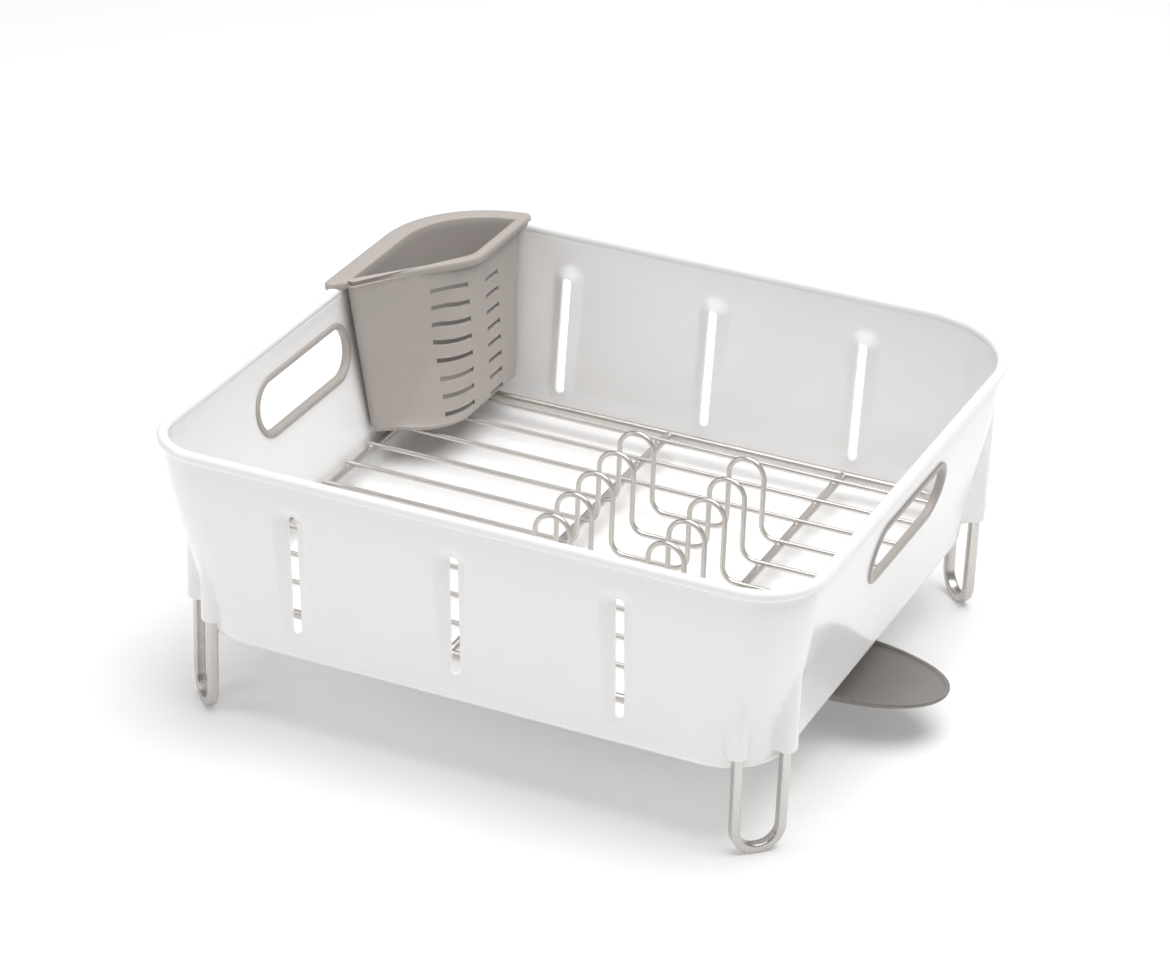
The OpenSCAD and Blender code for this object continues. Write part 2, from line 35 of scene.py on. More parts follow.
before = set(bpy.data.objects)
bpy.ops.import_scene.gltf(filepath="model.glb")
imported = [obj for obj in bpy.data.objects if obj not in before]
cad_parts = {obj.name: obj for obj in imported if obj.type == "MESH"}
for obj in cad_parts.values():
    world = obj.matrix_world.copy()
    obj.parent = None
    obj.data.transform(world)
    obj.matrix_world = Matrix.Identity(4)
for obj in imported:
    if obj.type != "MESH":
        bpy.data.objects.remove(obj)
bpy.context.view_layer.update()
mm = 0.001


def cadBoxMm(node):
    low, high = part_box(node)
    return np.array(low) / mm, np.array(high) / mm


tubLow, tubHigh = cadBoxMm("tub")
print("frame loaded")


# Shader groups shared by the materials
def link(tree, fromNode, fromName, toNode, toName):
    tree.links.new(fromNode.outputs[fromName], toNode.inputs[toName])


def mathNode(tree, operation, first, second):
    # first and second are numbers or (node, socket name)
    node = tree.nodes.new("ShaderNodeMath")
    node.operation = operation
    for index, value in enumerate((first, second)):
        if isinstance(value, tuple):
            tree.links.new(value[0].outputs[value[1]], node.inputs[index])
        else:
            node.inputs[index].default_value = value
    return node


def newGroup(name, inputs, outputs):
    group = bpy.data.node_groups.new(name, "ShaderNodeTree")
    for label, value in inputs.items():
        socket = group.interface.new_socket(name=label, in_out="INPUT", socket_type="NodeSocketFloat")
        socket.default_value = value
    for label, kind in outputs.items():
        group.interface.new_socket(name=label, in_out="OUTPUT", socket_type=kind)
    return group, group.nodes.new("NodeGroupInput"), group.nodes.new("NodeGroupOutput")


def noiseNode(tree, vector, scale, detail, roughness=0.5):
    node = tree.nodes.new("ShaderNodeTexNoise")
    node.inputs["Detail"].default_value = detail
    node.inputs["Roughness"].default_value = roughness
    tree.links.new(vector, node.inputs["Vector"])
    if isinstance(scale, tuple):
        tree.links.new(scale[0].outputs[scale[1]], node.inputs["Scale"])
    else:
        node.inputs["Scale"].default_value = scale
    return node


def makeMouldedSkin():
    # moulded plastic: broad sink waves under a fine pebble, plus cloudy variation
    group, source, result = newGroup(
        "mouldedSkin",
        {"Pebble Scale": 1400, "Pebble": 0.5, "Wave Scale": 14, "Wave": 0.5},
        {"Height": "NodeSocketFloat", "Cloud": "NodeSocketFloat", "Fleck": "NodeSocketFloat"})
    place = group.nodes.new("ShaderNodeTexCoord").outputs["Object"]
    pebble = noiseNode(group, place, (source, "Pebble Scale"), 3)
    wave = noiseNode(group, place, (source, "Wave Scale"), 2)
    cloud = noiseNode(group, place, 38, 4, 0.6)
    fleck = noiseNode(group, place, 620, 2, 0.7)
    pebbleShare = mathNode(group, "MULTIPLY", (pebble, "Fac"), (source, "Pebble"))
    waveShare = mathNode(group, "MULTIPLY", (wave, "Fac"), (source, "Wave"))
    height = mathNode(group, "ADD", (pebbleShare, "Value"), (waveShare, "Value"))
    link(group, height, "Value", result, "Height")
    link(group, cloud, "Fac", result, "Cloud")
    link(group, fleck, "Fac", result, "Fleck")
    return group


def makeDrawnLines():
    # fine lines left by drawing, brushing or a ribbed mould, stretched by the three scales
    group, source, result = newGroup(
        "drawnLines",
        {"X Scale": 1, "Y Scale": 1, "Z Scale": 1, "Depth": 1},
        {"Height": "NodeSocketFloat", "Streak": "NodeSocketFloat"})
    place = group.nodes.new("ShaderNodeTexCoord")
    scales = group.nodes.new("ShaderNodeCombineXYZ")
    for axis in "XYZ":
        link(group, source, axis + " Scale", scales, axis)
    stretched = group.nodes.new("ShaderNodeVectorMath")
    stretched.operation = "MULTIPLY"
    link(group, place, "Object", stretched, 0)
    link(group, scales, "Vector", stretched, 1)
    fine = noiseNode(group, stretched.outputs["Vector"], 1, 4, 0.65)
    broad = noiseNode(group, stretched.outputs["Vector"], 0.23, 2, 0.5)
    streak = mathNode(group, "MULTIPLY", (fine, "Fac"), (broad, "Fac"))
    height = mathNode(group, "MULTIPLY", (fine, "Fac"), (source, "Depth"))
    link(group, height, "Value", result, "Height")
    link(group, streak, "Value", result, "Streak")
    return group


def makeEdgeTouch():
    # 0 to 1 mask along outward edges, broken up by noise
    group, source, result = newGroup(
        "edgeTouch", {"Start": 0.52, "Finish": 0.62, "Break Up": 0.5}, {"Mask": "NodeSocketFloat"})
    place = group.nodes.new("ShaderNodeTexCoord").outputs["Object"]
    shape = group.nodes.new("ShaderNodeNewGeometry")
    patch = noiseNode(group, place, 160, 4, 0.7)
    reach = group.nodes.new("ShaderNodeMapRange")
    link(group, shape, "Pointiness", reach, "Value")
    link(group, source, "Start", reach, "From Min")
    link(group, source, "Finish", reach, "From Max")
    kept = mathNode(group, "MULTIPLY", (patch, "Fac"), (source, "Break Up"))
    solid = mathNode(group, "SUBTRACT", 1.0, (kept, "Value"))
    mask = mathNode(group, "MULTIPLY", (reach, "Result"), (solid, "Value"))
    link(group, mask, "Value", result, "Mask")
    return group


mouldedSkin = makeMouldedSkin()
drawnLines = makeDrawnLines()
edgeTouch = makeEdgeTouch()


def placeGroup(tree, group, values):
    node = tree.nodes.new("ShaderNodeGroup")
    node.node_tree = group
    for label, value in values.items():
        node.inputs[label].default_value = value
    return node


def startMaterial(name):
    material = bpy.data.materials.new(name)
    material.use_nodes = True
    return material, material.node_tree, material.node_tree.nodes["Principled BSDF"]


def mixColours(tree, factor, low, high):
    # factor is (node, socket name); low and high are colours or (node, socket name)
    node = tree.nodes.new("ShaderNodeMix")
    node.data_type = "RGBA"
    tree.links.new(factor[0].outputs[factor[1]], node.inputs[0])
    for index, value in ((6, low), (7, high)):
        if isinstance(value[0], bpy.types.Node):
            tree.links.new(value[0].outputs[value[1]], node.inputs[index])
        else:
            node.inputs[index].default_value = (*value, 1)
    return node


def spread(tree, factor, low, high, fromLow=0.3, fromHigh=0.7):
    # turns a mask into a value between low and high
    node = tree.nodes.new("ShaderNodeMapRange")
    tree.links.new(factor[0].outputs[factor[1]], node.inputs["Value"])
    node.inputs["From Min"].default_value = fromLow
    node.inputs["From Max"].default_value = fromHigh
    node.inputs["To Min"].default_value = low
    node.inputs["To Max"].default_value = high
    return node


def bumpFrom(tree, shader, height, distance, strength=1.0):
    bump = tree.nodes.new("ShaderNodeBump")
    bump.inputs["Distance"].default_value = distance
    bump.inputs["Strength"].default_value = strength
    tree.links.new(height[0].outputs[height[1]], bump.inputs["Height"])
    link(tree, bump, "Normal", shader, "Normal")


def plasticMaterial(name, look):
    material, tree, shader = startMaterial(name)
    skin = placeGroup(tree, mouldedSkin, {
        "Pebble Scale": look["pebbleScale"], "Pebble": look["pebble"],
        "Wave Scale": look["waveScale"], "Wave": look["wave"]})
    edges = placeGroup(tree, edgeTouch, {"Start": 0.53, "Finish": 0.66, "Break Up": 0.6})
    cloudy = mixColours(tree, (skin, "Cloud"), look["colour"], look["cloudColour"])
    touched = mixColours(tree, (edges, "Mask"), (cloudy, 2), look["edgeColour"])
    tree.links.new(touched.outputs[2], shader.inputs["Base Color"])
    rough = spread(tree, (skin, "Fleck"), look["roughLow"], look["roughHigh"])
    link(tree, rough, "Result", shader, "Roughness")
    height = (skin, "Height")
    if look["ribDepth"] > 0:
        ribs = placeGroup(tree, drawnLines, {
            "X Scale": look["ribScale"], "Y Scale": look["ribScale"], "Z Scale": 6,
            "Depth": look["ribDepth"]})
        both = mathNode(tree, "ADD", height, (ribs, "Height"))
        height = (both, "Value")
    bumpFrom(tree, shader, height, look["bump"])
    shader.inputs["IOR"].default_value = look["ior"]
    shader.inputs["Coat Weight"].default_value = look["coat"]
    shader.inputs["Coat Roughness"].default_value = look["coatRoughness"]
    return material


def steelMaterial(name, look):
    material, tree, shader = startMaterial(name)
    lines = placeGroup(tree, drawnLines, {
        "X Scale": look["lineScale"][0], "Y Scale": look["lineScale"][1],
        "Z Scale": look["lineScale"][2], "Depth": 1})
    skin = placeGroup(tree, mouldedSkin, {
        "Pebble Scale": 2200, "Pebble": look["pebble"], "Wave Scale": 40, "Wave": 0.2})
    edges = placeGroup(tree, edgeTouch, {"Start": 0.52, "Finish": 0.62, "Break Up": 0.4})
    cloudy = mixColours(tree, (skin, "Cloud"), look["colour"], look["cloudColour"])
    touched = mixColours(tree, (edges, "Mask"), (cloudy, 2), look["edgeColour"])
    tree.links.new(touched.outputs[2], shader.inputs["Base Color"])
    rough = spread(tree, (lines, "Streak"), look["roughLow"], look["roughHigh"], 0.15, 0.45)
    link(tree, rough, "Result", shader, "Roughness")
    both = mathNode(tree, "ADD", (lines, "Height"), (skin, "Height"))
    bumpFrom(tree, shader, (both, "Value"), look["bump"])
    shader.inputs["Metallic"].default_value = look["metallic"]
    return material


glossWhite = {
    "colour": (0.915, 0.91, 0.905), "cloudColour": (0.935, 0.93, 0.925), "edgeColour": (0.95, 0.948, 0.945),
    "pebbleScale": 900, "pebble": 0.10, "waveScale": 11, "wave": 1.0,
    "roughLow": 0.16, "roughHigh": 0.24, "bump": 0.0004, "ior": 1.5,
    "coat": 0.25, "coatRoughness": 0.08, "ribDepth": 0, "ribScale": 1}
warmGrey = {
    "colour": (0.43, 0.395, 0.37), "cloudColour": (0.46, 0.42, 0.395), "edgeColour": (0.60, 0.56, 0.53),
    "pebbleScale": 1700, "pebble": 0.5, "waveScale": 20, "wave": 0.6,
    "roughLow": 0.44, "roughHigh": 0.58, "bump": 0.00012, "ior": 1.46,
    "coat": 0.0, "coatRoughness": 0.3, "ribDepth": 1.2, "ribScale": 900}
trimGrey = dict(warmGrey, ribDepth=0, roughLow=0.34, roughHigh=0.46)
spoutGrey = dict(
    warmGrey, colour=(0.235, 0.215, 0.20), cloudColour=(0.26, 0.24, 0.225),
    edgeColour=(0.42, 0.39, 0.37), ribDepth=0, roughLow=0.36, roughHigh=0.50, pebble=0.9)
darkRubber = dict(
    warmGrey, colour=(0.035, 0.035, 0.036), cloudColour=(0.05, 0.05, 0.05),
    edgeColour=(0.08, 0.08, 0.08), ribDepth=0, roughLow=0.62, roughHigh=0.78)
footLook = {
    "colour": (0.56, 0.535, 0.51), "cloudColour": (0.62, 0.595, 0.57), "edgeColour": (0.80, 0.78, 0.76),
    "lineScale": (2600, 2600, 60), "pebble": 0.3, "roughLow": 0.24, "roughHigh": 0.40,
    "bump": 0.00004, "metallic": 1.0}
wireLook = {
    "colour": (0.60, 0.57, 0.54), "cloudColour": (0.66, 0.63, 0.60), "edgeColour": (0.78, 0.75, 0.73),
    "lineScale": (60, 2600, 2600), "pebble": 0.5, "roughLow": 0.28, "roughHigh": 0.44,
    "bump": 0.00004, "metallic": 1.0}

tubPlastic = plasticMaterial("glossWhitePlastic", glossWhite)
collarPlastic = plasticMaterial("collarWhitePlastic", dict(glossWhite, roughLow=0.26, roughHigh=0.36))
caddyPlastic = plasticMaterial("ribbedWarmGreyPlastic", warmGrey)
trimPlastic = plasticMaterial("trimWarmGreyPlastic", trimGrey)
spoutPlastic = plasticMaterial("darkWarmGreyPlastic", spoutGrey)
sealRubber = plasticMaterial("sealBlackRubber", darkRubber)
footSteel = steelMaterial("brushedFootSteel", footLook)
wireSteel = steelMaterial("satinWireSteel", wireLook)
print("materials made")


# Mesh helpers
def smoothShade(mesh, sharpAngle):
    mesh.polygons.foreach_set("use_smooth", [True] * len(mesh.polygons))
    mesh.set_sharp_from_angle(angle=math.radians(sharpAngle))
    mesh.update()


def makeObject(name, points, faces, sharpAngle=40):
    mesh = bpy.data.meshes.new(name)
    mesh.from_pydata((np.array(points) * mm).tolist(), [], faces)
    mesh.validate()
    smoothShade(mesh, sharpAngle)
    piece = bpy.data.objects.new(name, mesh)
    bpy.context.scene.collection.objects.link(piece)
    return piece


def place(piece, material, body, slotName, *nodes):
    piece.data.materials.clear()
    piece.data.materials.append(material)
    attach(piece, body)
    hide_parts(*nodes)
    return piece


def loft(rings, wrap=False, capEnds=False):
    # points and faces through rings of equally many points; wrap joins the last ring to the first
    rings = np.array(rings, float)
    ringCount, pointCount = rings.shape[:2]
    faces = []
    for r in range(ringCount if wrap else ringCount - 1):
        a = r * pointCount
        b = (r + 1) % ringCount * pointCount
        for i in range(pointCount):
            j = (i + 1) % pointCount
            faces.append((a + i, a + j, b + j, b + i))
    if capEnds:
        last = (ringCount - 1) * pointCount
        faces.append(tuple(range(pointCount - 1, -1, -1)))
        faces.append(tuple(range(last, last + pointCount)))
    return rings.reshape(-1, 3), faces


def joinParts(parts):
    points, faces, start = [], [], 0
    for partPoints, partFaces in parts:
        points.append(np.array(partPoints))
        faces += [tuple(i + start for i in face) for face in partFaces]
        start += len(partPoints)
    return np.concatenate(points), faces


def unit(vectors):
    return vectors / np.linalg.norm(vectors, axis=1)[:, None]


def sweep(path, section, closed=False, side=None):
    # section points (across, up) are carried along the path; side fixes the across direction
    path = np.array(path, float)
    ahead = np.roll(path, -1, 0) - path
    behind = path - np.roll(path, 1, 0)
    if not closed:
        ahead[-1] = behind[-1]
        behind[0] = ahead[0]
    along = unit(unit(ahead) + unit(behind))
    rings = []
    for point, direction in zip(path, along):
        across = np.array(side, float)
        across -= direction * across.dot(direction)
        across /= np.linalg.norm(across)
        up = np.cross(direction, across)
        rings.append([point + across * u + up * v for u, v in section])
    return rings


def circle(radius, count):
    return [(radius * math.cos(2 * math.pi * i / count), radius * math.sin(2 * math.pi * i / count))
            for i in range(count)]


def roundedRod(path, radius, side, count=14, closed=False):
    # round wire along a path; open ends are domed
    if closed:
        return loft(sweep(path, circle(radius, count), True, side), wrap=True)
    rings = sweep(path, circle(radius, count), False, side)
    path = np.array(path, float)
    domes = []
    for end, neighbour in ((0, 1), (-1, -2)):
        outward = path[end] - path[neighbour]
        outward /= np.linalg.norm(outward)
        dome = []
        for angle in (25, 50, 70, 84):
            a = math.radians(angle)
            shrunk = [path[end] + (np.array(p) - path[end]) * math.cos(a) for p in rings[end]]
            dome.append([p + outward * radius * 0.7 * math.sin(a) for p in shrunk])
        domes.append(dome)
    return loft(domes[0][::-1] + rings + domes[1], capEnds=True)


def blob(centre, radii, rows=7, count=12):
    # closed squashed ball, used as a weld
    rings = []
    for i in range(rows):
        a = math.pi * (i + 0.6) / (rows + 0.2) - math.pi / 2
        rings.append([(centre[0] + radii[0] * math.cos(a) * math.cos(2 * math.pi * k / count),
                       centre[1] + radii[1] * math.cos(a) * math.sin(2 * math.pi * k / count),
                       centre[2] + radii[2] * math.sin(a)) for k in range(count)])
    return loft(rings, capEnds=True)


def lathe(profile, count=72):
    # closed profile of (radius, height) turned about the upright axis
    rings = []
    for k in range(count):
        a = 2 * math.pi * k / count
        rings.append([(r * math.cos(a), r * math.sin(a), z) for r, z in profile])
    points, faces = loft(rings, wrap=True)
    return points, [face[::-1] for face in faces]


def easedRectangle(left, right, low, high, ease, steps=4):
    # outline of a rectangle with round corners
    points = []
    for cx, cy, start in ((right - ease, low + ease, -90), (right - ease, high - ease, 0),
                          (left + ease, high - ease, 90), (left + ease, low + ease, 180)):
        for i in range(steps + 1):
            a = math.radians(start + 90 * i / steps)
            points.append((cx + ease * math.cos(a), cy + ease * math.sin(a)))
    return points


def cutAway(piece, cutterParts, sharpAngle):
    points, faces = joinParts(cutterParts)
    cutter = makeObject("cutter", points, faces)
    shape = bmesh.new()
    shape.from_mesh(cutter.data)
    bmesh.ops.recalc_face_normals(shape, faces=shape.faces)
    shape.to_mesh(cutter.data)
    shape.free()
    cut = piece.modifiers.new("cut", "BOOLEAN")
    cut.operation = "DIFFERENCE"
    cut.solver = "EXACT"
    cut.use_self = True
    cut.object = cutter
    ready = piece.evaluated_get(bpy.context.evaluated_depsgraph_get())
    mesh = bpy.data.meshes.new_from_object(ready)
    piece.modifiers.clear()
    piece.data = mesh
    bpy.data.objects.remove(cutter)
    smoothShade(mesh, sharpAngle)


def ease(t):
    t = np.clip(t, 0, 1)
    return t * t * (3 - 2 * t)


# Tub
tubShape = {
    "bead": 3.5, "faceIn": 1.0, "wall": 2.4, "floor": 3.0, "fillet": 9.0, "endLean": 17.3,
    "sideLean": 12.4, "frontRim": 35.0, "frontLow": 40.0, "backRim": 68.0, "backLow": 53.0,
    "cornerSteps": 40, "rowStep": 1.7, "beadEnd": 216, "beadInner": 1.08}
slotShape = {
    "gap": 102.0, "shift": -6.0, "width": 6.2, "low": 72.0, "high": 151.0,
    "hollowTop": 10.3, "hollowLow": 9.0, "deepTop": 5.4, "deepLow": 1.6}
socketShape = {"low": 64.0, "radius": 6.6, "top": 93.0, "rim": 1.8, "rimIn": 1.6, "spread": 1.35, "reach": 40}
drainShape = {"bore": 13.0, "outer": 16.0, "flange": 1.6}
footShape = {
    "span": 29.5, "spanLow": 28.3, "thick": 5.4, "wide": 6.5, "ease": 1.4, "bend": 13.5, "top": 92.0}

bead = tubShape["bead"]
tubTop = tubHigh[2]
tubBase = tubLow[2]
halfLength = tubHigh[0] - bead
halfDepth = tubHigh[1] - bead
beadZ = tubTop - bead
leanTop = beadZ - 10
leanLow = tubBase + tubShape["fillet"] - 3


def leanShare(z):
    u = np.clip((leanTop - z) / (leanTop - leanLow), 0, 1)
    return 0.5 * u + 0.25 * (1 - np.cos(np.pi * u))


def wallFace(z):
    # outer face of an end wall, measured outward from the middle of the rim
    return -tubShape["faceIn"] - tubShape["endLean"] * leanShare(z)


def sideExtra(z):
    # how much further out the front and back walls stand than the end walls
    return (tubShape["endLean"] - tubShape["sideLean"]) * leanShare(z)


def cornerRadius(z, back):
    rim, low = (tubShape["backRim"], tubShape["backLow"]) if back else (
        tubShape["frontRim"], tubShape["frontLow"])
    return low + (rim - low) * (1 - leanShare(z))


def fineStations(centres, reach, fine, end, coarse):
    found = {-end, end}
    for c in centres:
        found.update(round(c + s, 3) for s in np.arange(-reach, reach + 0.01, fine))
    for s in np.arange(-end, end, coarse):
        if all(abs(s - c) > reach + coarse / 2 for c in centres):
            found.add(round(float(s), 3))
    return np.array(sorted(found))


slotCentres = [slotShape["shift"] + k * slotShape["gap"] for k in (-1, 0, 1)]
longStations = fineStations(slotCentres, 13.2, 1.1, 126, 9)
sideStations = np.linspace(-120, 112, 30)


def planOutline(offset, extra, frontR, backR):
    # ring around the tub's plan at an offset from the middle of the rim, with its normals
    hl, hw = halfLength + offset, halfDepth + offset + extra
    points, normals = [], []

    def straight(start, finish, stations, fixed, normal, alongX):
        order = stations if finish > start else stations[::-1]
        for s in [start, *order, finish]:
            points.append((s, fixed) if alongX else (fixed, s))
            normals.append(normal)

    def corner(cx, cy, radius, start):
        for i in range(1, tubShape["cornerSteps"]):
            a = math.radians(start + 90 * i / tubShape["cornerSteps"])
            points.append((cx + radius * math.cos(a), cy + radius * math.sin(a)))
            normals.append((math.cos(a), math.sin(a)))

    straight(-(hl - frontR), hl - frontR, longStations, -hw, (0, -1), True)
    corner(hl - frontR, -(hw - frontR), frontR, -90)
    straight(-(hw - frontR), hw - backR, sideStations, hl, (1, 0), False)
    corner(hl - backR, hw - backR, backR, 0)
    straight(hl - backR, -(hl - backR), longStations, hw, (0, 1), True)
    corner(-(hl - backR), hw - backR, backR, 90)
    straight(hw - backR, -(hw - frontR), sideStations, -hl, (-1, 0), False)
    corner(-(hl - frontR), -(hw - frontR), frontR, 180)
    return np.array(points), np.array(normals)


def footLegs():
    # places of the eight legs where they enter the tub
    found = []
    for node in ("foot_front_left", "foot_front_right", "foot_back_left", "foot_back_right"):
        low, high = cadBoxMm(node)
        middle = (low + high) / 2
        turn = -math.copysign(1, middle[0] * middle[1])
        half = footShape["span"] / 2 * math.sqrt(0.5)
        for s in (-1, 1):
            found.append((middle[0] + s * half, middle[1] + s * turn * half))
    return found


legs = footLegs()


def hollowDepth(points, z):
    # how far the front and back walls are pressed in around the slots
    radius = slotShape["width"] / 2
    low, high = slotShape["low"] + radius, slotShape["high"] - radius
    share = np.clip((z - low) / (high - low), -0.15, 1.1)
    deep = slotShape["deepLow"] + (slotShape["deepTop"] - slotShape["deepLow"]) * share
    reach = slotShape["hollowLow"] + (slotShape["hollowTop"] - slotShape["hollowLow"]) * share
    over = max(low - z, 0, z - high)
    across = np.min([np.abs(points[:, 0] - c) for c in slotCentres], axis=0)
    q = np.hypot(across, over)
    t = (reach - q) / (reach - radius)
    softEdge = 0.35
    ramp = np.where(t < 1, t, 1)
    rounded = 0.5 * (ramp + np.sqrt(ramp * ramp + 0.006))  # rounds the outer edge
    rounded = np.where(t < -softEdge, 0, rounded * ease((t + softEdge) / softEdge))
    return deep * np.clip(rounded, 0, 1.0)


def socketReach(points, normals, z, inner):
    # how far the wall swells along its normal to take in the leg sockets
    reach = np.zeros(len(points))
    radius, spread = socketShape["radius"], socketShape["spread"]
    low, top = socketShape["low"], socketShape["top"]
    if inner:
        if z > top:
            radius = math.sqrt(max(radius ** 2 - (z - top) ** 2, 0.01))
        if z > top + socketShape["radius"]:
            return reach
    else:
        if z < low - 0.01:
            return reach
        rim = min((z - low) / socketShape["rim"], 1)
        radius -= socketShape["rimIn"] * (1 - math.sqrt(1 - (1 - rim) ** 2))
    for lx, ly in legs:
        toLeg = np.array((lx, ly)) - points
        ahead = (toLeg * normals).sum(1)
        across = toLeg[:, 0] * normals[:, 1] - toLeg[:, 1] * normals[:, 0]
        inside = np.clip(1 - (across / radius) ** 2, 0, None)
        near = np.abs(across) < radius * spread
        shift = ahead + radius * np.sqrt(inside) - 4 * np.clip(np.abs(across) - radius, 0, None)
        soft = 0.5 * (shift + np.sqrt(shift * shift + 0.5)) - 0.03
        fade = ease((radius * spread - np.abs(across)) / (radius * 0.35))
        near &= np.hypot(toLeg[:, 0], toLeg[:, 1]) < socketShape["reach"]
        reach = np.where(near, np.maximum(reach, soft * fade), reach)
    return np.clip(reach, 0, 14)


def wallRing(z, inner):
    offset = wallFace(z) - (tubShape["wall"] if inner else 0)
    shrink = tubShape["wall"] if inner else 0
    points, normals = planOutline(
        offset, sideExtra(z), cornerRadius(z, False) - shrink, cornerRadius(z, True) - shrink)
    pressed = hollowDepth(points, z) * (np.abs(normals[:, 1]) == 1)
    moved = points - normals * pressed[:, None]
    swell = socketReach(points, -normals if inner else normals, z, inner)
    moved = moved + (-normals if inner else normals) * swell[:, None]
    return np.column_stack([moved, np.full(len(moved), z)])


def offsetRing(offset, z, radiusShift, radiusZ):
    points = planOutline(
        offset, sideExtra(radiusZ), cornerRadius(radiusZ, False) + radiusShift,
        cornerRadius(radiusZ, True) + radiusShift)[0]
    return np.column_stack([points, np.full(len(points), z)])


def buildTub():
    wall, fillet, floorThick = tubShape["wall"], tubShape["fillet"], tubShape["floor"]
    holeR = drainShape["outer"]
    filletTop = tubBase + fillet
    innerTop = tubBase + floorThick + fillet - wall
    wallTop = beadZ - math.sqrt(bead ** 2 - tubShape["faceIn"] ** 2)
    # rows of points up the wall, close together at the sockets' lower ends
    low = socketShape["low"]
    rows = np.arange(filletTop, wallTop, tubShape["rowStep"])
    rows = [z for z in rows if not low - 1.2 < z < low + 2.2]
    rows += [low + step for step in (-0.6, -0.06, 0, 0.2, 0.5, 1, 1.8)]
    rows = sorted(rows + [wallTop])
    rings = []
    # outer face: fillet, wall, bead
    for i in range(9):
        a = math.radians(90 * i / 8)
        offset = wallFace(filletTop) - fillet + fillet * math.sin(a)
        z = filletTop - fillet * math.cos(a)
        rings.append(offsetRing(offset, z, fillet * (math.sin(a) - 1), filletTop))
    rings += [wallRing(z, False) for z in rows[1:]]
    start = math.degrees(math.atan2(wallTop - beadZ, -tubShape["faceIn"]))
    for i in range(1, 21):
        a = math.radians(start + (tubShape["beadEnd"] - start) * i / 20)
        across = bead * math.cos(a) * (tubShape["beadInner"] if math.cos(a) < 0 else 1)
        rings.append(offsetRing(across, beadZ + bead * math.sin(a), across + tubShape["faceIn"], beadZ))
    # inner face: wall, fillet
    innerRows = [z for z in rows if innerTop < z < beadZ - 3]
    rings += [wallRing(z, True) for z in innerRows[::-1]]
    r = fillet - wall
    for i in range(8, -1, -1):
        a = math.radians(90 * i / 8)
        offset = wallFace(innerTop) - wall - r + r * math.sin(a)
        ring = wallRing(innerTop, True) if i == 8 else offsetRing(
            offset, innerTop - r * math.cos(a), r * (math.sin(a) - 1) - wall, innerTop)
        rings.append(ring)
    # floor: towards the drain, top then underside
    def floorRings(edge, z):
        found = []
        angles = np.arctan2(edge[:, 1], edge[:, 0])
        hole = np.column_stack([holeR * np.cos(angles), holeR * np.sin(angles)])
        for share in (0.12, 0.3, 0.5, 0.7, 0.85, 0.95, 1.0):
            plan = edge[:, :2] * (1 - share) + hole * share
            found.append(np.column_stack([plan, np.full(len(plan), z)]))
        return found

    rings += floorRings(rings[-1], tubBase + floorThick)
    rings += floorRings(rings[0], tubBase)[::-1]
    points, faces = loft(rings, wrap=True)
    return makeObject("tubShell", points, faces, 38)


def pillPrism(length, height, near, far, alongX, centre, steps=24):
    # pill outline carried along X or Y; long side across the wall or upright
    half = (length - height) / 2
    outline = []
    for i in range(2 * steps + 2):
        a = math.pi * (i if i <= steps else i - 1) / steps
        shift = half if i <= steps else -half
        outline.append((shift + height / 2 * math.sin(a), -height / 2 * math.cos(a)))
    rings = []
    for distance in (near, far):
        if alongX:
            rings.append([(distance, centre[0] + u, centre[1] + v) for u, v in outline])
        else:
            rings.append([(centre[0] + v, distance, centre[1] + u) for u, v in outline])
    return loft(rings, capEnds=True)


trimLow, trimHigh = cadBoxMm("handle_trim_right")
handleShape = {
    "length": trimHigh[1] - trimLow[1], "height": trimHigh[2] - trimLow[2],
    "lip": 2.6, "sleeve": 1.6, "stand": 1.3}
handleMiddle = ((trimHigh[1] + trimLow[1]) / 2, (trimHigh[2] + trimLow[2]) / 2)

tubShell = buildTub()
slotMiddle = (slotShape["low"] + slotShape["high"]) / 2
slotCutters = []
for sx in slotCentres:
    for wallSide in (-1, 1):
        slotCutters.append(pillPrism(
            slotShape["high"] - slotShape["low"], slotShape["width"],
            wallSide * (halfDepth - 50), wallSide * (halfDepth + 20), False, (sx, slotMiddle)))
for wallSide in (-1, 1):
    slotCutters.append(pillPrism(
        handleShape["length"] - 2 * handleShape["lip"], handleShape["height"] - 2 * handleShape["lip"],
        wallSide * (halfLength - 50), wallSide * (halfLength + 20), True, handleMiddle))
cutAway(tubShell, slotCutters, 38)
place(tubShell, tubPlastic, "tub", "tub_plastic", "tub")
print("tub made", len(tubShell.data.vertices))


